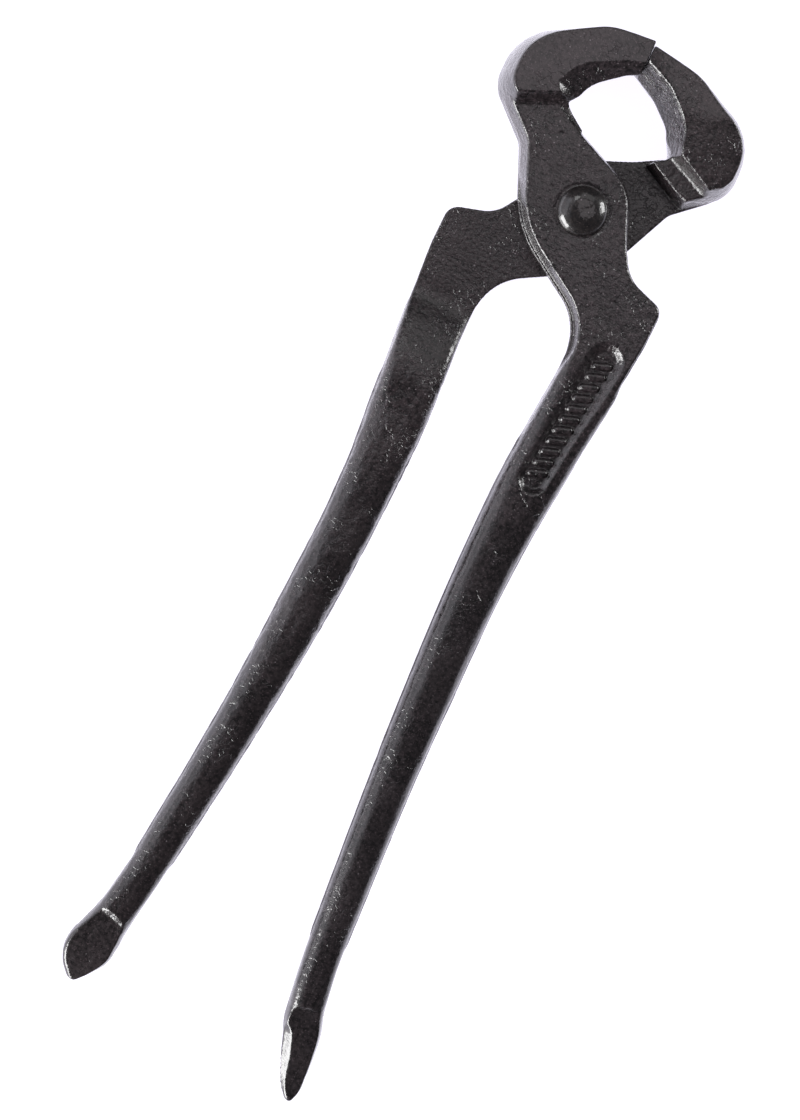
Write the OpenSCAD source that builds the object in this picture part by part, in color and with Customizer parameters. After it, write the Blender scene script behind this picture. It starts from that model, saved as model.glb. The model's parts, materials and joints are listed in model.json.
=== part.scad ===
// Lap-joint pincers: two arms of one forging, the rear one turned over, on a single rivet.
// Arm frame: pivot at the origin, jaws towards +Y, the joint's middle plane at z = 0,
// with the arm's own jaw on the -X side, its handle on the +X side and its lap plate above z = 0.

/* [Head] */
// Width of the jaws across their two ground faces
jaw_w = 24; // [22:0.5:27]
// Pivot axis to the crown of the closed jaws
head_reach = 40.8; // [40.2:0.1:42]
// Where the cutting edges meet, off the middle of the tool
bite_x = -2; // [-3:0.5:0]
// Hairline left between the closed cutting edges
bite_gap = 0.2; // [0.1:0.05:0.3]
// How far the ground face on the lap plate's side stands in from the jaw's crown
near_inset = 1.8; // [0.6:0.1:2.4]
// How far the ground face on the other side stands in from the jaw's crown
far_inset = 3; // [2:0.1:3.6]
// Width of the front jaw's bevel around the mouth
mouth_bevel = 3.6; // [1:0.1:4]
// How much wider than the front jaw's the rear jaw's half of the mouth is
rear_widening = 1; // [0:0.1:1.5]
// Degrees that the closed head leans to the left of the handles' middle line
head_lean = 1.2; // [0:0.1:2]

/* [Joint] */
// Thickness of each arm's lap plate
lap_t = 8; // [7:0.25:8.5]
// Play between the two lap plates
lap_play = 0.1; // [0.05:0.05:0.2]
// Diameter of the rivet's shank
shank_d = 8; // [7:0.1:9]
// Radial clearance of the shank in the rear arm, which turns on it
shank_fit = 0.05; // [0.02:0.01:0.1]
// Diameter of the rivet's domed head
head_d = 11.4; // [10:0.1:13]
// Height of the domed head
head_h = 2.8; // [2:0.1:3.2]
// Diameter of the peened tail
tail_d = 10.4; // [9.5:0.1:12]
// Height of the peened tail
tail_h = 1.6; // [1:0.1:2.4]

/* [Handles] */
// Pivot axis to the end of the longer handle
handle_reach = 208.2; // [200:0.2:216]
// Thickness of a handle at its root, front to back
grip_t = 10.4; // [9:0.2:12]
// How far the middle of the front handle is bowed outwards, and the rear one inwards
grip_bow = 0.5; // [0:0.1:1]

/* [Panel] */
// Length of the recessed panel on each handle's root
panel_l = 37; // [30:0.5:40]
// Width of the panel, whose ends are half round
panel_w = 6.4; // [5:0.1:7]
// Depth of the panel
panel_depth = 0.6; // [0.3:0.1:1]
// Raised bars across the panel
panel_bars = 11; // [5:1:14]

/* [Hidden] */

half_w = jaw_w / 2;
pivot_y = (handle_reach - head_reach) / 2;
shank_r = shank_d / 2;
lap_z = lap_play / 2;
arc_step = 10;
eps = 0.01;
ring_n = 28;

// Corners of the lap plate as [x, y, corner radius], from the jaw's root down the crotch side,
// across the handle's root and back up over the shoulder to the mouth.
plate_corners = [
    [-26.6, 24, 0], [-27.2, 16.1, 5], [-18.8, 8.6, 5], [-11.1, -9, 25], [11.5, -22.4, 13],
    [11.3, -33, 0], [25.8, -33, 0], [26.8, -20, 20], [26.8, -11, 3.5], [16.8, -7.9, 8],
    [13.2, -2, 6], [8.6, 9.8, 12], [-6.4, 16.2, 20], [-13.4, 20.2, 0], [-18, 26, 0]];

// Crown line of the jaw's outer wall, closed across the mouth, which is cut out of it.
crown_corners = [
    [-20.6, 10.8, 0], [-29.5, 17.8, 8], [-29.6, 32, 13], [-12, head_reach - 0.9, 16],
    [6, head_reach + 0.6, 0], [6, 30, 0], [-9, 14, 0]];

// The mouth's wall on one jaw, closed well past the other jaw.
mouth_corners = [
    [8, 39, 0], [0, 35, 2], [-5, 32.4, 8], [-11.6, 26.8, 10], [-13.6, 20.4, 0.8],
    [-6.5, 15.6, 0], [0, 0, 0], [30, 0, 0], [30, 39, 0]];

// Steps from the lap plate up to the jaw: a point on each step's edge and the edge's direction.
near_step = [[-20, 18.6], 24];
far_step_low = [[-15.5, 14.1], 27];
far_step_high = [[-17.8, 17.6], 24];
shelf_z = -6;

// The handle's middle is bowed as it came from straightening.
function bowed(y, bow) = bow * max(0, cos(90 * (y + 115) / 75));

// Sections of the handle as [y, x, half width, middle z, half thickness, squareness].
function grip_sections(bow) = [
    for (s = [
        [-32, 18.6, 7.25, (lap_t + lap_z) / 2, (lap_t - lap_z) / 2, 7],
        [-39, 18.2, 7.1, 2.4, 5.2, 5],
        [-46, 17.6, 6.95, 0.8, 6, 4],
        [-58, 16.75, 6.75, 0.4, 5.7, 3.2],
        [-70, 16.2, 6.3, 0.1, 5.3, 2.8],
        [-84, 16.05, 5.9, 0, grip_t / 2 - 0.1, 2.6],
        [-110, 17, 5.45, 0, grip_t / 2 - 0.3, 2.5],
        [-135, 18.5, 4.85, 0, grip_t / 2 - 0.6, 2.5],
        [-160, 20.7, 4.4, 0, grip_t / 2 - 0.9, 2.5],
        [-178, 22.6, 4.3, 0, grip_t / 2 - 1, 2.5]])
    [s[0], s[1] + bowed(s[0], bow), s[2], s[3], s[4], s[5]]];

// The front handle ends in a chisel, the rear one in a flat spear.
chisel_sections = [
    [-187.5, 24.3, 4.5, 0, 4.1, 3], [-191, 25.2, 4.75, 0, 3.4, 4], [-196, 26.6, 4.15, 0, 2.7, 4],
    [-201, 27.7, 3.45, 0, 2, 4], [-205.7, 28.9, 2.3, 0, 1.4, 4],
    [-handle_reach, 29.6, 0.8, 0, 1, 3]];
spear_sections = [
    [-186.5, 23.9, 4.55, 0, 4.1, 3], [-190, 24.6, 5, 0, 3.1, 4], [-194, 25.4, 5.6, 0, 2.5, 4],
    [-197.5, 25.8, 5.45, 0, 2.1, 4], [-201, 26.3, 3.7, 0, 1.7, 4],
    [3.9 - handle_reach, 26.3, 0.9, 0, 1.1, 3]];

panel_at = [18.3, -42.6, 6.4];
panel_turn = [3, 0, -5];

function unit(v) = v / norm(v);
function turned(v, a) = [v[0] * cos(a) - v[1] * sin(a), v[0] * sin(a) + v[1] * cos(a)];

// Points of the arc that rounds corner p, between its neighbours a and b, to radius r.
function corner_arc(a, p, b, r) =
    let (u = unit(a - p), v = unit(b - p), half = acos(u * v) / 2,
         centre = p + unit(u + v) * r / sin(half),
         start = p + u * r / tan(half) - centre,
         sweep = (180 - 2 * half) * (cross(u, v) > 0 ? -1 : 1),
         n = ceil(abs(sweep) / arc_step))
    [for (i = [0:n]) centre + turned(start, sweep * i / n)];

function flat(p) = [p[0], p[1]];
function rounded(c) = [for (i = [0:len(c) - 1])
    let (p = c[i], a = c[(i + len(c) - 1) % len(c)], b = c[(i + 1) % len(c)])
    each p[2] > 0 ? corner_arc(flat(a), flat(p), flat(b), p[2]) : [flat(p)]];

// One ring of a handle: a rounded box whose corners sharpen as the squareness grows.
function bulge(s, power) = sign(s) * pow(abs(s), 2 / power);
function ring(s) = [for (i = [0:ring_n - 1])
    let (a = 360 * (i + 0.5) / ring_n)
    [s[1] + s[2] * bulge(cos(a), s[5]), s[0], s[3] + s[4] * bulge(sin(a), s[5])]];

// Extra sections, halfway between the given ones, on a smooth curve through them.
function midway(p, a, b, q) = (9 * (a + b) - p - q) / 16;
function refined(s) = [for (i = [0:len(s) - 1]) each i == len(s) - 1 ? [s[i]] :
    [s[i], midway(s[max(i - 1, 0)], s[i], s[i + 1], s[min(i + 2, len(s) - 1)])]];

module loft(sections) {
    m = len(sections);
    sides = [for (j = [0:m - 2], i = [0:ring_n - 1])
        let (a = j * ring_n + i, b = j * ring_n + (i + 1) % ring_n)
        each [[a, b + ring_n, b], [a, a + ring_n, b + ring_n]]];
    first = [for (i = [0:ring_n - 1]) i];
    last = [for (i = [ring_n - 1:-1:0]) (m - 1) * ring_n + i];
    polyhedron([for (s = sections) each ring(s)], concat(sides, [first, last]));
}

// Everything on the handle's side of a step's edge, between two levels.
module below_step(step, z_low, z_high) {
    translate([step[0][0], step[0][1], z_low])
        rotate(step[1])
            translate([-40, -40, 0])
                cube([80, 40, z_high - z_low]);
}

module crown_slice(z, inset) {
    translate([0, 0, z])
        linear_extrude(eps)
            offset(delta = -inset)
                polygon(rounded(crown_corners));
}

module mouth_slice(z, shift) {
    translate([-shift, shift / 3, z])
        linear_extrude(eps)
            polygon(rounded(mouth_corners));
}

module jaw(bevel, widening) {
    difference() {
        hull() {
            crown_slice(half_w - eps, near_inset);
            crown_slice(half_w - 5, 0.3);
            crown_slice(-1, 0);
            crown_slice(-6, 0.9);
            crown_slice(-half_w, far_inset);
        }
        translate([-widening, 0, -half_w - 1])
            linear_extrude(jaw_w + 2)
                polygon(rounded(mouth_corners));
        if (bevel > 0)
            hull() {
                mouth_slice(half_w, bevel);
                mouth_slice(-3, 0);
            }
        below_step(near_step, lap_t, half_w + 1);
        below_step(far_step_low, -half_w - 1, lap_z);
        below_step(far_step_high, -half_w - 1, shelf_z);
    }
}

// The plate's corners above the pivot turn with the jaw.
module lap_plate(turn) {
    corners = [for (c = plate_corners)
        c[1] > 5 ? [each turned(flat(c), turn), c[2]] : c];
    translate([0, 0, lap_z])
        linear_extrude(lap_t - lap_z)
            polygon(rounded(corners));
}

module panel() {
    translate(panel_at)
        rotate(panel_turn)
            difference() {
                translate([0, 0, -panel_depth])
                    stadium(panel_l, panel_w, lap_t);
                bars();
            }
}

module stadium(length, width, height) {
    for (s = [-1, 1])
        translate([0, s * (length - width) / 2, 0])
            cylinder(d = width, h = height, $fn = 32);
    translate([-width / 2, (width - length) / 2, 0])
        cube([width, length - width, height]);
}

// Raised slanting bars that leave a margin all round the panel.
module bars() {
    pitch = (panel_l - panel_w) / panel_bars;
    for (i = [0:panel_bars - 1])
        translate([0, (i - (panel_bars - 1) / 2) * pitch, -panel_depth - 1])
            rotate(25)
                translate([-panel_w * 0.32, -0.5, 0])
                    cube([panel_w * 0.64, 1, 1 + panel_depth * 0.7]);
}

// One arm: its head turned by lean, its jaw cut off at bite with the mouth bevelled or widened,
// its handle bowed and drawn out to the given tip. The rivet passes through hole_r.
module arm(lean, bite, bevel, widening, bow, tip, hole_r) {
    difference() {
        union() {
            lap_plate(lean);
            difference() {
                rotate(lean)
                    jaw(bevel, widening);
                translate([bite, 0, -half_w - 1])
                    cube([40, 60, jaw_w + 2]);
            }
            loft(refined(concat(grip_sections(bow), tip)));
        }
        translate([0, 0, -1])
            cylinder(r = hole_r, h = lap_t + 2, $fn = 64);
        panel();
    }
}

module front_arm() {
    color([0.06, 0.055, 0.06])
        translate([0, pivot_y, half_w])
            arm(head_lean, bite_x - bite_gap / 2, mouth_bevel, 0, grip_bow, chisel_sections,
                shank_r);
}

module rear_arm() {
    color([0.1, 0.09, 0.1])
        translate([0, pivot_y, half_w])
            rotate([0, 180, 0])
                arm(-head_lean, -bite_x - bite_gap / 2, 0, rear_widening, -grip_bow,
                    spear_sections, shank_r + shank_fit);
}

// Radius of the sphere whose cap has this diameter and height.
function cap_r(d, h) = (d * d / 4 + h * h) / (2 * h);

module cap(d, h) {
    r = cap_r(d, h);
    intersection() {
        translate([0, 0, h - r])
            sphere(r = r, $fn = 96);
        cylinder(d = d, h = h + 1, $fn = 96);
    }
}

module pivot_rivet() {
    color([0.14, 0.13, 0.14])
        translate([0, pivot_y, half_w]) {
            translate([0, 0, -lap_t - shank_fit])
                cylinder(r = shank_r, h = 2 * lap_t + shank_fit, $fn = 64);
            translate([0, 0, lap_t])
                cap(head_d, head_h);
            translate([0, 0, -lap_t - shank_fit])
                rotate([180, 0, 0])
                    cap(tail_d, tail_h);
        }
}

front_arm();
rear_arm();
pivot_rivet();
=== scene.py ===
import json
import math

import bpy
import numpy as np
from mathutils import Matrix, Vector


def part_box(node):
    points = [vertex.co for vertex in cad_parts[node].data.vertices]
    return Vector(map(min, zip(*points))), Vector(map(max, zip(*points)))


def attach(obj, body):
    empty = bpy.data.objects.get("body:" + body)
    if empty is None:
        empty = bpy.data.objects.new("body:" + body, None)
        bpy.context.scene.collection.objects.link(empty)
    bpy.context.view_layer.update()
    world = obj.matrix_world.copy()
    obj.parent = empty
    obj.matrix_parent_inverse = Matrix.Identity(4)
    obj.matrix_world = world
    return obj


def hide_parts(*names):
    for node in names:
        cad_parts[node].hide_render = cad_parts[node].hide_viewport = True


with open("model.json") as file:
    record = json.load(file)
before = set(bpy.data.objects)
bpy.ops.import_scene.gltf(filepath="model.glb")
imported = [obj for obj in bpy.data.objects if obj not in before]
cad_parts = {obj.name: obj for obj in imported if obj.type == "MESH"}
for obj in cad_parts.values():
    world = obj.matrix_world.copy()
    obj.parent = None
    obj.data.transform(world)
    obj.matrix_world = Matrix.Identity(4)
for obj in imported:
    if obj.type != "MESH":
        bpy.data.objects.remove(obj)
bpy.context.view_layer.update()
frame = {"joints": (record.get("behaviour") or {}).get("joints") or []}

# Lap-joint pincers. The two arms are worked out as signed distances, in millimetres, in the arm's
# own frame: the pivot at the origin, the jaws towards +Y, the joint's middle plane at z = 0, with
# the arm's own jaw on the -X side, its handle on the +X side and its lap plate above z = 0.
# The front arm lies as it is, and the rear one is turned over about the Y axis.

MM = 0.001
PIVOT = Vector(frame["joints"][0]["pos_m"])
FRONT_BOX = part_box("front_arm")
REAR_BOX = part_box("rear_arm")
RIVET_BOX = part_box("pivot_rivet")
HALF_W = (FRONT_BOX[1].z - FRONT_BOX[0].z) / 2 / MM
REACH = (PIVOT.y - FRONT_BOX[0].y) / MM
REAR_REACH = (PIVOT.y - REAR_BOX[0].y) / MM
CROWN = (FRONT_BOX[1].y - PIVOT.y) / MM
# Each lap plate lies between these heights over the middle plane.
LAP_Z = 0.05
LAP_T = 8.0
# The rivet's shank and head, and the play of the rear arm's bore and of the tail's seat.
SHANK_R = 4.0
HEAD_R = (RIVET_BOX[1].x - RIVET_BOX[0].x) / 2 / MM
BORE_PLAY = 0.05
TAIL_PLAY = 0.05
# Where the cutting edges meet, and each edge's share of the gap between them.
BITE_X = -2.0
BITE_GAP = 0.1


# ---------------------------------------------------------------- outlines as signed distances

def turned(x, y, degrees):
    """The point, turned about the pivot."""
    c, s = math.cos(math.radians(degrees)), math.sin(math.radians(degrees))
    return x * c - y * s, x * s + y * c


def rounded_outline(corners):
    """A closed outline of straight lines and arcs, from corners given as (x, y, radius)."""
    points = [np.array(c[:2], float) for c in corners]
    lines, arcs, chords, start = [], [], [], []
    for i, corner in enumerate(points):
        before, after = points[i - 1], points[(i + 1) % len(points)]
        r = corners[i][2]
        if r == 0:
            start.append((corner, corner))
            continue
        u = (before - corner) / np.linalg.norm(before - corner)
        v = (after - corner) / np.linalg.norm(after - corner)
        half = math.acos(max(-1.0, min(1.0, float(u @ v)))) / 2
        middle = (u + v) / np.linalg.norm(u + v)
        centre = corner + middle * r / math.sin(half)
        start.append((corner + u * r / math.tan(half), corner + v * r / math.tan(half)))
        arcs.append((centre, r, -middle, math.sin(half)))
    for i, (enter, leave) in enumerate(start):
        if enter is not leave:
            chords.append((enter, leave))
        lines.append((leave, start[(i + 1) % len(start)][0]))
    return lines, arcs, chords


def outline_distance(outline, x, y):
    """Distance to the outline, less than nothing inside it."""
    lines, arcs, chords = outline
    x, y = np.broadcast_arrays(np.asarray(x, float), np.asarray(y, float))
    nearest = np.full(x.shape, 1e9)
    inside = np.zeros(x.shape, bool)
    for a, b in lines + chords:
        if a[1] != b[1]:
            across = (y > a[1]) != (y > b[1])
            inside ^= across & (x < a[0] + (y - a[1]) * (b[0] - a[0]) / (b[1] - a[1]))
    for a, b in lines:
        run = b - a
        t = np.clip(((x - a[0]) * run[0] + (y - a[1]) * run[1]) / max(run @ run, 1e-9), 0, 1)
        nearest = np.minimum(nearest, np.hypot(x - a[0] - t * run[0], y - a[1] - t * run[1]))
    for centre, r, middle, reach in arcs:
        dx, dy = x - centre[0], y - centre[1]
        far = np.hypot(dx, dy)
        along = dx * middle[0] + dy * middle[1]
        on_arc = along >= far * reach
        nearest = np.where(on_arc, np.minimum(nearest, abs(far - r)), nearest)
        inside ^= (far < r) & (along > r * reach)
    return np.where(inside, -nearest, nearest)


def round_max(a, b, r):
    """What lies in both, their shared edge rounded to radius r."""
    return np.minimum(np.maximum(a, b), -r) + np.hypot(np.maximum(a + r, 0), np.maximum(b + r, 0))


def soft_min(a, b, k):
    """The lesser of the two, blended where they are within k of each other."""
    h = np.maximum(k - abs(a - b), 0) / k
    return np.minimum(a, b) - h * h * k / 4


def soft_max(a, b, k):
    """The greater of the two, blended in the same way."""
    return -soft_min(-a, -b, k)


def ease(x, low, high):
    """0 below low, 1 above high and a smooth step between them."""
    t = np.clip((x - low) / (high - low), 0, 1)
    return t * t * (3 - 2 * t)


def curve_through(t, knots, values):
    """A smooth curve through the values at the knots, as a person would fair them."""
    knots, values = np.asarray(knots, float), np.asarray(values, float)
    gaps = np.diff(knots)
    steep = np.diff(values) / gaps
    inner = (steep[:-1] * gaps[1:] + steep[1:] * gaps[:-1]) / (gaps[1:] + gaps[:-1])
    slope = np.concatenate([[steep[0]], inner, [steep[-1]]])
    i = np.clip(np.searchsorted(knots, t) - 1, 0, len(gaps) - 1)
    u = np.clip((t - knots[i]) / gaps[i], 0, 1)
    h = gaps[i]
    return ((2 * u**3 - 3 * u**2 + 1) * values[i] + (u**3 - 2 * u**2 + u) * h * slope[i]
            + (3 * u**2 - 2 * u**3) * values[i + 1] + (u**3 - u**2) * h * slope[i + 1])


# ---------------------------------------------------------------- noise

def lattice(ix, iy, iz, seed):
    """A fixed random value from -1 to 1 for each whole-numbered point."""
    h = (ix * 374761393 + iy * 668265263 + iz * 1440662683 + seed * 974634777) & 0xFFFFFFFF
    h = ((h ^ (h >> 13)) * 1274126177) & 0xFFFFFFFF
    h = ((h ^ (h >> 16)) * 2246822519) & 0xFFFFFFFF
    return ((h ^ (h >> 15)) & 0xFFFF) / 32767.5 - 1


def noise(x, y, z, size, seed):
    """Smooth noise from -1 to 1 whose lumps are about this size across."""
    p = [np.asarray(v, float) / size for v in (x, y, z)]
    i = [np.floor(v).astype(np.int64) for v in p]
    w = [(v - k) ** 3 * ((v - k) * ((v - k) * 6 - 15) + 10) for v, k in zip(p, i)]
    total = 0
    for c in range(8):
        dx, dy, dz = c & 1, c >> 1 & 1, c >> 2 & 1
        share = ((w[0] if dx else 1 - w[0]) * (w[1] if dy else 1 - w[1])
                 * (w[2] if dz else 1 - w[2]))
        total = total + share * lattice(i[0] + dx, i[1] + dy, i[2] + dz, seed)
    return total


# ---------------------------------------------------------------- the forging

# Corners as (x, y, radius): the lap plate, from the jaw's root down the crotch side, across the
# handle's root and back up over the shoulder to the mouth.
PLATE = [(-26.6, 24, 0), (-27.2, 16.1, 5), (-18.8, 8.6, 5), (-11.1, -9, 25), (11.5, -22.4, 13),
         (10.4, -50, 0), (24.3, -50, 0), (26.8, -20, 20), (26.8, -11, 3.5), (16.8, -7.9, 8),
         (13.2, -2, 6), (8.6, 9.8, 12), (-6.4, 16.2, 20), (-13.4, 20.2, 0), (-18, 26, 0)]

CROWN_LINE = [(-20.6, 10.8, 0), (-29.5, 17.8, 8), (-29.6, 32, 13), (-12, CROWN - 0.9, 16),
              (6, CROWN + 0.6, 0), (6, 30, 0), (-9, 14, 0)]

MOUTH = [(8, 39, 0), (0, 35, 2), (-5, 32.4, 8), (-11.6, 26.8, 10), (-13.6, 20.4, 0.8),
         (-6.5, 15.6, 0), (0, 0, 0), (30, 0, 0), (30, 39, 0)]

# The handle's sections as (y, x, half width, middle z, half thickness, how wide its flat top is).
GRIP = [(-20, 19, 7.4, 4.03, 3.98, 0.9), (-31, 18.6, 7.25, 4.03, 3.98, 0.9),
        (-38, 18.25, 7.1, 2.3, 5.25, 0.85), (-45, 17.7, 6.95, 0.8, 6, 0.8),
        (-58, 16.75, 6.75, 0.4, 5.7, 0.7),
        (-70, 16.2, 6.3, 0.1, 5.3, 0.6), (-84, 16.05, 5.9, 0, 5.1, 0.55),
        (-110, 17, 5.45, 0, 4.9, 0.5), (-135, 18.5, 4.85, 0, 4.6, 0.5),
        (-160, 20.7, 4.4, 0, 4.3, 0.5), (-178, 22.6, 4.3, 0, 4.2, 0.5)]
CHISEL = [(-187.5, 24.3, 4.5, 0, 4.15, 0.7), (-191, 25.2, 4.75, 0, 4, 0.85),
          (-196, 26.6, 4.15, 0, 3.6, 0.9), (-201, 27.7, 3.45, 0, 3.2, 0.9),
          (-205.7, 28.9, 2.3, 0, 2.8, 0.9), (-REACH, 29.6, 0.8, 0, 2.5, 0.8)]
SPEAR = [(-186.5, 23.9, 4.55, 0, 4.15, 0.7), (-190, 24.6, 5, 0, 4, 0.85),
         (-194, 25.4, 5.6, 0, 3.6, 0.9), (-197.5, 25.8, 5.45, 0, 3.3, 0.9),
         (-201, 26.3, 3.7, 0, 3, 0.9), (-REAR_REACH, 26.3, 0.9, 0, 2.6, 0.8)]

# Panel on the handle's root: its middle, its turn in plan and its slope along its length.
PANEL_AT = (18.3, -42.6, 6.4)
PANEL_TURN = 5.0
PANEL_SLOPE = 3.0
PANEL_L = 37.0
PANEL_W = 6.4
PANEL_DEPTH = 0.75
PANEL_BARS = 11
BAR_TURN = 25
BAR_HALF_W = 0.85
BAR_H = 0.8

# Where the blades' ground faces start.
BLADE_Y = -186.3

# The slopes of the neck's sides, below and above their knee, and the knee's height.
LOW_DRAFT = 0.05
DRAFT = 0.2
KNEE_Z = 3.5

# The flash's ledge: how high it stands on the plate's side and how far out.
LEDGE_Z = 1.7
LEDGE_OUT = 0.75

# The blades: their half thickness at the root, how they thin towards the tip, and the bevel
# along one edge, as how much it faces up and out and how deep it is for its width.
BLADE_HALF_T = 3.35
BLADE_TAPER = 0.125
BEVEL_UP, BEVEL_OUT = 0.77, 0.64
BEVEL_DEPTH = 0.84

# Each arm's own sizes: the head's lean, where its bite lies, how much wider its half of the
# mouth is, the handle's bow, the blade, the bore, and the width of the blade's bevel. The
# others are the noise's seed, how rough the skin is, how much scale it keeps, which way the arm
# faces and how much squarer its handle's root is.
FRONT = {"lean": 1.2, "bite": BITE_X - BITE_GAP, "widening": 0.0, "bow": 0.5, "tip": CHISEL,
         "bore": SHANK_R, "seed": 11, "rough": 0.8, "scale": 0.5, "side": 1,
         "square": 0.0, "bevel": 2.2}
REAR = {"lean": -1.2, "bite": -BITE_X - BITE_GAP, "widening": 1.0, "bow": -0.5, "tip": SPEAR,
        "bore": SHANK_R + BORE_PLAY, "seed": 47, "rough": 1.3, "scale": 1.5, "side": -1,
        "square": 0.15, "bevel": 1.0}


def plate_distance(x, y, z, arm):
    """Distance to the lap plate, from the jaw's root down to the handle's."""
    corners = [(*turned(c[0], c[1], arm["lean"]), c[2]) if c[1] > 5 else c for c in PLATE]
    outline = outline_distance(rounded_outline(corners), x, y)
    # The neck's sides lean in above the parting line; from the joint down the trimmed flash
    # leaves a low ledge.
    ledge = soft_max(outline, z - LEDGE_Z, 0.3)
    ledge = soft_min(outline + LEDGE_OUT + 0.02 * z, ledge, 0.35)
    below = ease(-y, -4, 5)
    drafted = outline + LOW_DRAFT * z + DRAFT * np.maximum(z - KNEE_Z, 0)
    side = (1 - below) * drafted + below * ledge
    plate = round_max(side, z - LAP_T, 0.55)
    return round_max(plate, LAP_Z - z, 0.3)


def half_plane(x, y, point, degrees):
    """Distance past a line through the point, towards the jaw."""
    a = math.radians(degrees)
    return -(x - point[0]) * math.sin(a) + (y - point[1]) * math.cos(a)


def mouth_flare(hx, z, arm):
    """How far the mouth's wall stands back from its plain outline, down its width.

    The front jaw has a bevel of about forty degrees under its face and leans back below that.
    The rear jaw's wall leans out to a ridge in its upper half and then back.
    """
    if arm["side"] > 0:
        wide = curve_through(-hx, [2, 6, 10, 14, 18], [0.8, 1.4, 2.3, 3.4, 4.4])
        drop = 0.77 * (wide + 1.9)
        past = z - HALF_W + drop
        return np.where(past > 0, past / 0.85, -0.16 * past) - 0.129 * (15 - drop)
    height = -z - 4.5
    return np.where(height > 0, 3.45 * height / (HALF_W - 4.5), -0.2 * height) - 3.17


def jaw_distance(x, y, z, arm):
    """Distance to the jaw, as wide as the whole tool is thick."""
    hx, hy = turned(x, y, -arm["lean"])
    crown = outline_distance(rounded_outline(CROWN_LINE), hx, hy)
    near = curve_through(-hx, [0, 6, 12, 18, 24, 29], [0.2, 0.3, 0.7, 1.5, 2.5, 2.6])
    far = curve_through(-hx, [0, 8, 14, 20, 28], [1.5, 2.0, 2.7, 3.2, 2.7])
    up, down = (np.clip((v + 1) / (HALF_W + 1), 0, 1) for v in (z, -z))
    inset = near * up * (0.45 + 0.55 * up) + far * down * (0.45 + 0.55 * down)
    body = soft_max(crown + inset, abs(z) - HALF_W, 0.35)
    mouth = outline_distance(rounded_outline(MOUTH), hx + arm["widening"], hy)
    mouth = mouth - mouth_flare(hx, z, arm) * ease(hy, 18.5, 23.5)
    body = round_max(body, -mouth, 0.2)
    # The steps from the lap plate up to the jaw's two faces.
    near_step = half_plane(hx, hy, (-20, 17.1), 24) - 0.45 * (z - LAP_T)
    body = soft_max(body, -round_max(near_step, LAP_T - 0.5 - z, 1.1), 0.4)
    low = half_plane(hx, hy, (-15.5, 14.1), 27) + 0.1 * (z + 6)
    body = soft_max(body, -round_max(low, z - LAP_Z, 0.5), 0.6)
    high = half_plane(hx, hy, (-17.8, 17.6), 24) + 0.25 * (z + 6)
    body = soft_max(body, -round_max(high, z + 6, 1.0), 0.6)
    if arm["side"] < 0:
        # The ground face by the bite; below it the forged face falls away a little.
        below = 30.1 + 0.05 * (hx + 13.5) ** 2 - hy
        body = soft_max(body, (0.11 * below - z - HALF_W) / 1.006, 0.2)
    return round_max(body, x - arm["bite"], 0.15)


def grip_distance(x, y, z, arm):
    """Distance to the handle and the blade at its end."""
    rows = GRIP + arm["tip"]
    knots = [r[0] for r in rows][::-1]
    centre, half_w, mid, half_t, flat = (curve_through(y, knots, [r[i] for r in rows][::-1])
                                         for i in range(1, 6))
    centre = centre + arm["bow"] * np.cos(np.radians(90 * np.clip((y + 115) / 75, -1, 1)))
    # An oval section, squarer where the flat share is larger, and the blade ground at the tip.
    power = 1.9 / (1.25 - flat - arm["square"] * ease(y, -66, -44))
    lean = 0.24 * ease(-y, 182, 190)
    dx, dz = (abs(x - centre) + lean * abs(z)) / half_w, abs(z - mid) / half_t
    section = ((dx**power + dz**power + 1e-9) ** (1 / power) - 1) * np.minimum(half_w, half_t)
    # The trimmed flash stands out along the parting line of both edges.
    flash = round_max(dx * half_w - half_w - 0.25, abs(z - mid * 0.5) - 0.55, 0.2)
    section = soft_min(section, flash + 4 * ease(y, -52, -40) + 4 * ease(-y, 170, 182), 0.5)
    past = BLADE_Y - y + 0.27 * (x - 24.3)
    face = BLADE_HALF_T - BLADE_TAPER * (past - 1.1)
    step = (abs(z) - 4.25 + 0.8 * past) * 0.78
    section = soft_max(section, soft_min(step, abs(z) - face, 0.3), 0.2)
    # One edge of the blade, the left one as the tool lies, is bevelled.
    along = half_w + arm["side"] * (x - centre)
    wide = np.minimum(arm["bevel"], face + 0.35)
    bevel = BEVEL_UP * (abs(z) - face + BEVEL_DEPTH * wide) - BEVEL_OUT * along
    section = soft_max(section, bevel - 3 * ease(y, -194, -188), 0.2)
    return soft_max(section, arm["tip"][-1][0] - y, 0.8)


def panel_cut(x, y, z):
    """Distance to what the panel takes out of the handle: a pocket less its slanted bars."""
    px, py = turned(x - PANEL_AT[0], y - PANEL_AT[1], PANEL_TURN)
    pz = z - PANEL_AT[2] - math.tan(math.radians(PANEL_SLOPE)) * py
    straight = (PANEL_L - PANEL_W) / 2
    # The pocket's walls slope at about forty degrees, and its bars are rounded ridges.
    pocket = (np.hypot(px, np.maximum(abs(py) - straight, 0)) - PANEL_W / 2 - 1.1 * pz) * 0.67
    pitch = (PANEL_L - PANEL_W) / PANEL_BARS
    bx, by = turned(px, py - pitch * np.round(py / pitch), -BAR_TURN)
    across = np.hypot(np.maximum(abs(bx) - PANEL_W * 0.23, 0), by)
    bar = (np.hypot(across / BAR_HALF_W, (pz + PANEL_DEPTH) / BAR_H) - 1) * BAR_H
    bar = np.maximum(bar, abs(py) - straight - 0.3)
    cut = round_max(pocket, -pz - PANEL_DEPTH, 0.25)
    return soft_max(cut, -bar, 0.15)


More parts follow.
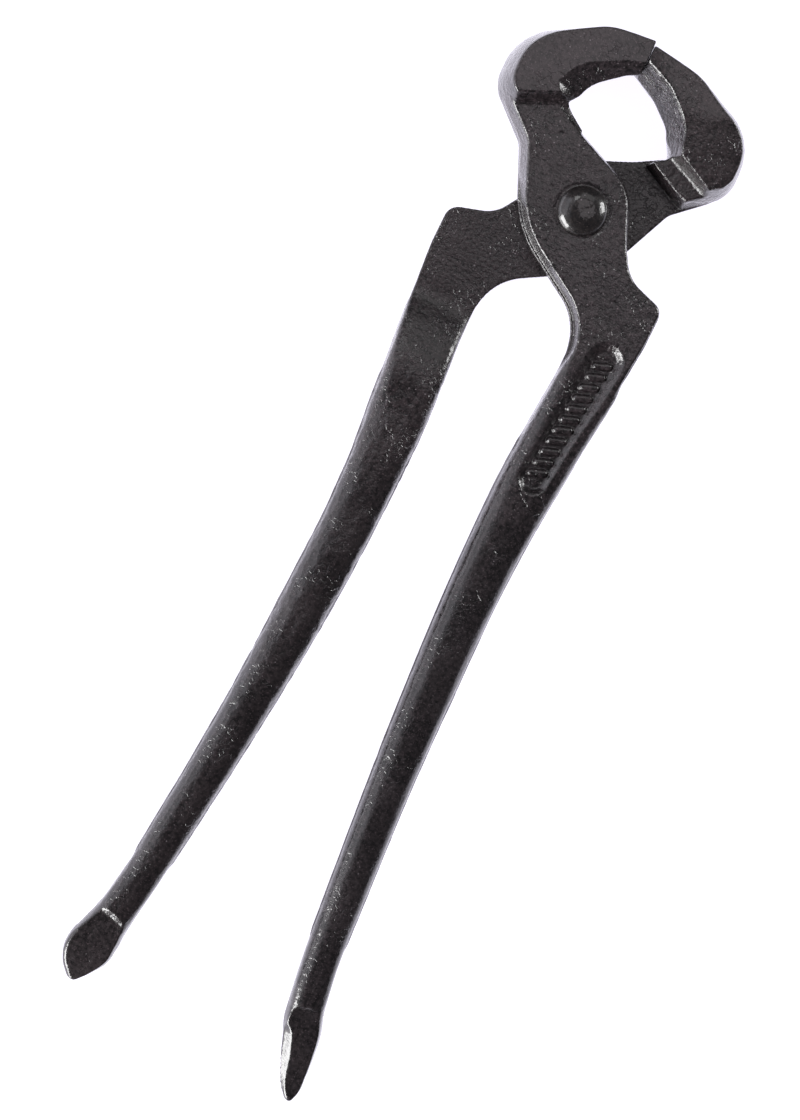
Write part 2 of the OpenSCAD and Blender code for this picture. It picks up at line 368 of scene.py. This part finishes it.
def arm_distance(x, y, z, arm):
    """Signed distance to one arm, before the forging's texture."""
    handle = ease(-y, 26, 35)
    root = (1 - handle) * plate_distance(x, y, z, arm) + handle * grip_distance(x, y, z, arm)
    solid = soft_min(root, jaw_distance(x, y, z, arm), 0.3)
    solid = soft_max(solid, -panel_cut(x, y, z), 0.35)
    return np.maximum(solid, arm["bore"] - np.hypot(x, y))


def forging(x, y, z, arm):
    """How far the surface stands proud of its plain shape: hammering, scale and pits."""
    seed = arm["seed"]
    ground = ease(abs(z), HALF_W - 1.2, HALF_W - 0.4)
    rough = arm["rough"] * (1 - 0.8 * ground)
    patch = 0.5 + 0.5 * noise(x, y, z, 17, seed + 1)
    wave = 0.08 * noise(x, y, z, 26, seed) + 0.02 * noise(x, y / 2, z, 7, seed + 2)
    lumps = 0.02 * noise(x, y / 1.6, z, 3.0, seed + 3) + 0.025 * noise(x, y / 1.4, z, 1.3, seed + 4)
    pits = np.clip(noise(x, y, z, 1.9, seed + 5) - 0.6, 0, 1)
    seat = np.exp(-((np.hypot(x, y) - HEAD_R - 0.25) / 0.35) ** 2) * ease(z, LAP_T - 1, LAP_T)
    keep = ease(np.hypot(x, y), SHANK_R + 0.5, SHANK_R + 3) * ease(abs(z), 0.2, 0.8)
    keep = np.maximum(keep, ease(-y, 40, 50))
    wrinkles = 0.03 * noise(x, y / 5, z, 1.6, seed + 6) * ease(-y, 40, 60)
    scale = arm["scale"] * ease(-y, 40, 60) * ease(y, -150, -110) * ease(z * arm["side"], -1, 1)
    rough_skin = rough * (lumps * (0.4 + patch + scale) - 0.2 * pits)
    return keep * ((1 - 0.6 * ground) * wave + rough_skin + wrinkles) - 0.16 * seat


# ---------------------------------------------------------------- meshing

# The grid's step, in millimetres.
GRID = 0.46


def surface_net(values, xs, ys, zs):
    """Points and quads of the surface where the values change sign on the grid."""
    axes = [xs, ys, zs]
    cells = tuple(n - 1 for n in values.shape)
    total, weight = np.zeros((*cells, 3)), np.zeros(cells)
    inside = values < 0
    crossings = []
    for axis in range(3):
        lower = tuple(slice(None, -1) if a == axis else slice(None) for a in range(3))
        upper = tuple(slice(1, None) if a == axis else slice(None) for a in range(3))
        at = np.argwhere(inside[lower] != inside[upper])
        i, j, k = at.T
        v0 = values[lower][i, j, k]
        v1 = values[upper][i, j, k]
        point = np.stack([axes[a][at[:, a]] for a in range(3)], 1)
        step = axes[axis][at[:, axis] + 1] - axes[axis][at[:, axis]]
        point[:, axis] += step * v0 / (v0 - v1)
        across = [a for a in range(3) if a != axis]
        ring = []
        for d0, d1 in ((0, 0), (1, 0), (1, 1), (0, 1)):
            cell = at.copy()
            cell[:, across[0]] -= d0
            cell[:, across[1]] -= d1
            np.add.at(total, tuple(cell.T), point)
            np.add.at(weight, tuple(cell.T), 1)
            ring.append(cell)
        crossings.append((ring, (v0 < 0) != (axis == 1)))
    used = weight > 0
    number = np.full(cells, -1)
    number[used] = np.arange(used.sum())
    points = total[used] / weight[used][:, None]
    quads = []
    for ring, outward in crossings:
        q = np.stack([number[tuple(c.T)] for c in ring], 1)
        quads.append(np.where(outward[:, None], q, q[:, ::-1]))
    return points, np.concatenate(quads)


def spaced(low, high, steps):
    """Grid lines from low to high, steps being (where a step starts to hold, the step)."""
    lines = [low]
    while lines[-1] < high:
        step = [s for at, s in steps if lines[-1] >= at][-1]
        lines.append(lines[-1] + step)
    return np.array(lines)


def slope_of(distance, p, reach):
    """How the distance changes along each axis at the points, taken over this reach."""
    parts = []
    for a in range(3):
        q, r = p.copy(), p.copy()
        q[:, a] += reach
        r[:, a] -= reach
        parts.append((distance(*q.T) - distance(*r.T)) / (2 * reach))
    return np.stack(parts, 1)


def settle(distance, points, rounds, most):
    """Moves the points onto the surface, each no further than most, and gives its normals."""
    for _ in range(rounds):
        slope = slope_of(distance, points, 0.03)
        size = np.maximum((slope**2).sum(1), 0.05)
        move = -(distance(*points.T) / size)[:, None] * slope
        reach = np.linalg.norm(move, axis=1)
        points = points + move * np.minimum(1, most / np.maximum(reach, 1e-9))[:, None]
    normal = slope_of(distance, points, 0.06)
    return points, normal / np.maximum(np.linalg.norm(normal, axis=1), 1e-9)[:, None]


def mesh_object(name, points, faces, normals=None):
    """A smooth mesh in the scene, from lists of points and faces."""
    mesh = bpy.data.meshes.new(name)
    mesh.from_pydata(points, [], faces)
    mesh.polygons.foreach_set("use_smooth", [True] * len(mesh.polygons))
    mesh.update()
    if normals is not None:
        mesh.normals_split_custom_set_from_vertices(normals.tolist())
    piece = bpy.data.objects.new(name, mesh)
    bpy.context.scene.collection.objects.link(piece)
    return piece


def make_arm(name, node, body, arm):
    """Meshes one arm and turns the rear one over."""
    step = GRID
    # Finer over the blade and the panel, coarser along the handle.
    rows = [(-REACH - 1.5, step * 0.9), (-183, step * 1.6), (-66, step * 0.65), (-22, step)]
    xs = np.arange(-32, 33.5, step)
    ys = spaced(-REACH - 1.5, CROWN + 2, rows)
    zs = np.arange(-HALF_W - 1, HALF_W + 1.2, step)
    grid = arm_distance(xs[:, None, None], ys[None, :, None], zs[None, None, :], arm)
    points, quads = surface_net(grid, xs, ys, zs)

    def finished(x, y, z):
        return arm_distance(x, y, z, arm) - forging(x, y, z, arm)

    points, normals = settle(finished, points, 2, step * 0.6)
    if arm["side"] < 0:
        points = points * [-1, 1, -1]
        normals = normals * [-1, 1, -1]
    points = points * MM + np.array(PIVOT)
    piece = mesh_object(name, points.tolist(), quads.tolist(), normals)
    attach(piece, body)
    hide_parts(node)
    return piece


# ---------------------------------------------------------------- the rivet

DENT_DEPTH = 0.2
DENT_R = 2.2
RIVET_SIDES = 144


def make_rivet():
    """The rivet: a domed head with a dimpled middle, the shank, and the peened tail."""
    top, low = LAP_T, -LAP_T - TAIL_PLAY
    head_h = (RIVET_BOX[1].z - PIVOT.z) / MM - LAP_T
    tail_h = -(RIVET_BOX[0].z - PIVOT.z) / MM + low
    tail_r = HEAD_R - 0.5

    def dome(r, radius, height):
        bulge = height * np.sqrt(np.maximum(0.0, 1 - (r / radius) ** 2.2))
        dent = DENT_DEPTH * np.exp(-(r / DENT_R) ** 2)
        return bulge - dent * height / head_h

    turns = RIVET_SIDES
    head_r = HEAD_R * np.sin(np.linspace(0, math.pi / 2, 34))
    tail = tail_r * np.sin(np.linspace(0, math.pi / 2, 24))
    profile = [(r, top + dome(r, HEAD_R, head_h)) for r in head_r[1:]]
    profile += [(HEAD_R - 0.15, top - 0.02), (SHANK_R, top - 0.03), (SHANK_R, low + 0.03)]
    profile += [(tail_r - 0.15, low + 0.02)]
    profile += [(r, low - dome(r, tail_r, tail_h)) for r in tail[:0:-1]]
    points = [(0, 0, top + dome(0, HEAD_R, head_h))]
    for r, z in profile:
        for k in range(turns):
            a = 2 * math.pi * k / turns
            points.append((r * math.cos(a), r * math.sin(a), z))
    points.append((0, 0, low - dome(0, tail_r, tail_h)))
    last = len(points) - 1
    faces = [(0, 1 + k, 1 + (k + 1) % turns) for k in range(turns)]
    for row in range(len(profile) - 1):
        for k in range(turns):
            a, b = 1 + row * turns + k, 1 + row * turns + (k + 1) % turns
            faces.append((a, a + turns, b + turns, b))
    base = 1 + (len(profile) - 1) * turns
    faces += [(base + k, last, base + (k + 1) % turns) for k in range(turns)]
    # The hammer's marks, deepest in the dimple.
    p = np.array(points, float)
    r = np.hypot(p[:, 0], p[:, 1])
    proud = ease(abs(p[:, 2]), LAP_T, LAP_T + 0.6)
    middle = 1 - ease(r, 1.8, 3.4)
    bumps = middle * (0.03 * noise(*p.T, 0.7, 5) + 0.04 * noise(*p.T, 1.5, 8))
    bumps += 0.03 * noise(*p.T, 2.6, 6)
    p[:, 2] += np.sign(p[:, 2]) * proud * bumps
    piece = mesh_object("rivet", (p * MM + np.array(PIVOT)).tolist(), faces)
    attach(piece, "front")
    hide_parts("pivot_rivet")
    return piece


# ---------------------------------------------------------------- materials

class Nodes:
    """Short calls that add a node and link its inputs."""

    def __init__(self, name):
        self.material = bpy.data.materials.new(name)
        self.material.use_nodes = True
        self.tree = self.material.node_tree
        self.shader = self.tree.nodes["Principled BSDF"]

    def add(self, kind, values=None, **settings):
        node = self.tree.nodes.new(kind)
        for key, value in settings.items():
            setattr(node, key, value)
        for key, value in (values or {}).items():
            if isinstance(value, bpy.types.NodeSocket):
                self.tree.links.new(value, node.inputs[key])
            else:
                node.inputs[key].default_value = value
        return node

    def noise(self, where, size_mm, detail=3.0, rough=0.5):
        node = self.add("ShaderNodeTexNoise", {
            "Vector": where, "Scale": 1 / (size_mm * MM), "Detail": detail, "Roughness": rough})
        return node.outputs["Fac"]

    def spread(self, value, low, high, to_low=0.0, to_high=1.0):
        node = self.add("ShaderNodeMapRange", {
            "Value": value, "From Min": low, "From Max": high, "To Min": to_low, "To Max": to_high})
        return node.outputs["Result"]

    def mix(self, share, a, b):
        node = self.add("ShaderNodeMix", data_type="RGBA")
        for socket, value in zip((node.inputs[0], node.inputs[6], node.inputs[7]), (share, a, b)):
            if isinstance(value, bpy.types.NodeSocket):
                self.tree.links.new(value, socket)
            else:
                socket.default_value = value
        return node.outputs[2]

    def math(self, operation, a, b):
        return self.add("ShaderNodeMath", {0: a, 1: b}, operation=operation).outputs[0]

    def bump(self, height, distance_mm, strength, under=None):
        values = {"Height": height, "Distance": distance_mm * MM, "Strength": strength}
        if under is not None:
            values["Normal"] = under
        return self.add("ShaderNodeBump", values).outputs["Normal"]

    def finish(self, **inputs):
        for key, value in inputs.items():
            socket = self.shader.inputs[key.replace("_", " ")]
            if isinstance(value, bpy.types.NodeSocket):
                self.tree.links.new(value, socket)
            else:
                socket.default_value = value
        return self.material


# The heights, in metres, between which the forged skin gives way to the jaws' ground faces.
GROUND_Z = (0.0231, 0.0236)


def lacquer(name, dark, brown, rough_scale, coat_rough):
    """Gloss black lacquer run over scaled steel: brown tints, orange peel, pits, brown specks and
    pale specks that are painted glints.
    """
    n = Nodes(name)
    where = n.add("ShaderNodeTexCoord").outputs["Object"]
    patches = n.noise(where, 14, 4, 0.6)
    grain = n.noise(where, 0.85, 3, 0.55)
    fine = n.noise(where, 0.36, 2, 0.6)
    peel = n.noise(where, 2.6, 2, 0.45)
    cells = n.add("ShaderNodeTexVoronoi", {"Vector": where, "Scale": 1 / (1.7 * MM)},
                  feature="F1").outputs["Distance"]
    scabby = n.spread(n.noise(where, 8, 2, 0.5), 0.48, 0.62)
    craters = n.math("MULTIPLY", n.spread(cells, 0.1, 0.24, 0.0, 1.0), scabby)
    mottle = n.math("ADD", n.math("MULTIPLY", grain, 0.6), n.math("MULTIPLY", patches, 0.4))
    tint = n.mix(n.spread(mottle, 0.41, 0.60), dark, brown)
    tint = n.mix(n.spread(fine, 0.58, 0.72), tint, [c * 3.0 for c in brown[:3]] + [1])
    # Pale grey specks painted into the colour within the scabby patches: painted glints that stand
    # in for tiny highlights off pinholes in the lacquer.
    painted_glint_cells = n.add("ShaderNodeTexVoronoi", {"Vector": where, "Scale": 1 / (1.3 * MM)},
                 feature="F1")
    painted_glint_mask = n.math("MULTIPLY", n.spread(painted_glint_cells.outputs["Distance"], 0.09, 0.16, 1.0, 0.0), scabby)
    tint = n.mix(painted_glint_mask, tint, (0.13, 0.11, 0.12, 1))
    # Curled edges where the scale has flaked under the lacquer.
    flakes = n.math("ABSOLUTE", n.math("SUBTRACT", n.noise(where, 2.4, 2, 0.55), 0.5), 0.0)
    flakes = n.spread(flakes, 0.0, 0.035, 1.0, 0.0)
    flakes = n.math("MULTIPLY", flakes, n.spread(n.noise(where, 9, 2, 0.5), 0.44, 0.6))
    gloss = n.spread(mottle, 0.35, 0.65, 0.26, 0.44)
    # The edges of the plates and handles keep the rough skin of the forging.
    facing = n.add("ShaderNodeSeparateXYZ", {
        0: n.add("ShaderNodeNewGeometry").outputs["Normal"]}).outputs["Z"]
    edge = n.spread(n.math("ABSOLUTE", facing, 0.0), 0.45, 0.8, 1.0, 0.0)
    place = n.add("ShaderNodeSeparateXYZ", {0: where}).outputs
    edge = n.math("MULTIPLY", edge,
                  n.spread(place["Y"], PIVOT.y + 0.012, PIVOT.y + 0.018, 1.0, 0.25))
    # The jaws' faces and the blades are ground before they are lacquered.
    blade = n.spread(place["Y"], PIVOT.y - 0.191, PIVOT.y - 0.187, 0.3, 1.0)
    edge = n.math("MULTIPLY", edge,
                  n.spread(place["Y"], PIVOT.y - 0.06, PIVOT.y - 0.04, 0.1, 1.0))
    forged = n.math("MULTIPLY", n.spread(place["Z"], *GROUND_Z, 1.0, 0.32), blade)
    # The drawn-out handles are smoother than the flats. Their colour is also pulled towards the
    # dark tint as painted shade, for the darker look they have under these lamps.
    handle_smooth_and_shaded = n.spread(place["Y"], PIVOT.y - 0.085, PIVOT.y - 0.055, 1.0, 0.0)
    forged = n.math("MULTIPLY", forged, n.math("SUBTRACT", 1.0, n.math("MULTIPLY", handle_smooth_and_shaded, 0.45)))
    # Painted shade: the handles' colour is darkened towards the dark tint.
    tint = n.mix(n.math("MULTIPLY", handle_smooth_and_shaded, 0.35), tint, dark)
    depth = n.math("ADD", n.spread(patches, 0.36, 0.6, 0.5, 1.2), n.math("MULTIPLY", edge, 1.6))
    skin = n.math("MULTIPLY", grain, n.math("MULTIPLY", depth, forged))
    under = n.bump(skin, 0.24, 0.85 * rough_scale)
    under = n.bump(fine, 0.05, 0.6 * rough_scale, under)
    over = n.bump(peel, 0.05, 0.5)
    over = n.bump(skin, 0.23, 0.8 * rough_scale, over)
    over = n.bump(fine, 0.04, 0.7 * rough_scale, over)
    over = n.bump(n.math("MULTIPLY", flakes, forged), 0.13, 0.8 * rough_scale, over)
    over = n.bump(n.math("MULTIPLY", craters, forged), 0.1, 0.5 * rough_scale, over)
    return n.finish(Base_Color=tint, Roughness=gloss, Normal=under, Coat_Normal=over,
                    Coat_Weight=0.95, Coat_Roughness=coat_rough, Specular_IOR_Level=0.3)


def floor_material():
    """A pale acrylic sheet, lit from below as a light table is."""
    n = Nodes("pale_floor")
    where = n.add("ShaderNodeTexCoord").outputs["Object"]
    shade = n.mix(n.noise(where, 60, 2), (0.26, 0.26, 0.262, 1), (0.28, 0.28, 0.283, 1))
    return n.finish(Base_Color=shade, Roughness=0.9, Emission_Color=(0.889, 0.859, 1, 1),
                    Emission_Strength=1.1)


# ---------------------------------------------------------------- the studio

WHITE = (1, 1, 1)
COOL = (0.93, 0.92, 1)
LILAC = (1, 0.93, 0.97)


def area_light(name, place, target, size, power, colour):
    light = bpy.data.lights.new(name, "AREA")
    light.shape = "RECTANGLE"
    light.size, light.size_y = size
    light.energy = power
    light.color = colour
    lamp = bpy.data.objects.new(name, light)
    lamp.location = place
    lamp.rotation_euler = (Vector(target) - Vector(place)).to_track_quat("-Z", "Y").to_euler()
    bpy.context.scene.collection.objects.link(lamp)
    return lamp


def make_studio():
    scene = bpy.context.scene
    world = bpy.data.worlds.new("studio")
    scene.world = world
    world.use_nodes = True
    background = world.node_tree.nodes["Background"]
    background.inputs["Color"].default_value = (0.98, 0.92, 1.0, 1)
    background.inputs["Strength"].default_value = 0.12
    half = 1.6
    corners = [(-half, -half, 0), (half, -half, 0), (half, half, 0), (-half, half, 0)]
    floor = mesh_object("studio_floor", corners, [(0, 1, 2, 3)])
    floor.location.z = -0.5 * MM
    floor.data.materials.append(floor_material())
    middle = Vector((0, 0, 0.01))
    # Each soft box as (name, place from the middle, size, power, colour). The grey ones on the
    # left lie as bands along the handles, and the one behind shows in the ramps where the
    # handles rise from the lap plates.
    soft_boxes = [("key_low_left", (-0.58, -0.81, 0.34), (0.85, 0.6), 25, WHITE),
                  ("key_high_right", (0.72, 0.69, 0.32), (0.36, 0.5), 6.5, WHITE),
                  ("grey_left", (-0.9, 0.018, 0.55), (0.95, 1.0), 2.7, COOL),
                  ("grey_high", (-0.62, 0.0124, 0.95), (1.0, 0.7), 0.95, COOL),
                  ("grey_strip", (-0.95, 0.019, 0.13), (0.95, 0.24), 1.2, COOL),
                  ("glint", (-0.3, 0.45, 0.75), (0.22, 0.22), 0.5, WHITE),
                  ("grey_back", (0.05, 0.8, 0.8), (0.6, 0.45), 0.6, WHITE)]
    for name, place, size, power, colour in soft_boxes:
        area_light(name, middle + Vector(place), middle, size, power, colour)
    # A dim panel overhead, whose reflection lies over the head's flats and ends at the neck.
    overhead = PIVOT + Vector((70, 210, 800)) * MM
    area_light("panel_over", overhead, overhead - Vector((0, 0, 1)), (0.34, 0.32), 0.33,
               LILAC)
    make_camera(scene)
    scene.view_settings.view_transform = "Standard"


def make_camera(scene):
    """A long lens almost straight above, turned so that the handles run down to the left."""
    camera = bpy.data.cameras.new("camera")
    camera.sensor_width = 36
    camera.lens = 90.27
    camera.clip_start, camera.clip_end = 0.01, 20
    view = bpy.data.objects.new("camera", camera)
    view.location = PIVOT + Vector((-49.78, -91.24, 630)) * MM
    target = PIVOT + Vector((-1.46, -87.44, 0)) * MM
    toward = (target - view.location).normalized()
    back = -toward
    side = Vector((-0.443, 0.896, 0)).cross(back).normalized()
    view.rotation_euler = Matrix((side, back.cross(side), back)).transposed().to_euler()
    scene.collection.objects.link(view)
    scene.camera = view


def make_scene():
    bpy.context.scene.unit_settings.system = "METRIC"
    front = make_arm("front_arm_forging", "front_arm", "front", FRONT)
    rear = make_arm("rear_arm_forging", "rear_arm", "rear", REAR)
    rivet = make_rivet()
    front.data.materials.append(lacquer("front_lacquer", (0.002, 0.0016, 0.0018, 1),
                                        (0.0225, 0.0168, 0.0187, 1), 0.9, 0.05))
    rear.data.materials.append(lacquer("rear_lacquer", (0.002, 0.0015, 0.0017, 1),
                                       (0.021, 0.015, 0.0165, 1), 1.15, 0.06))
    rivet.data.materials.append(lacquer("rivet_lacquer", (0.004, 0.0035, 0.0038, 1),
                                        (0.014, 0.011, 0.0105, 1), 0.18, 0.05))
    make_studio()


make_scene()
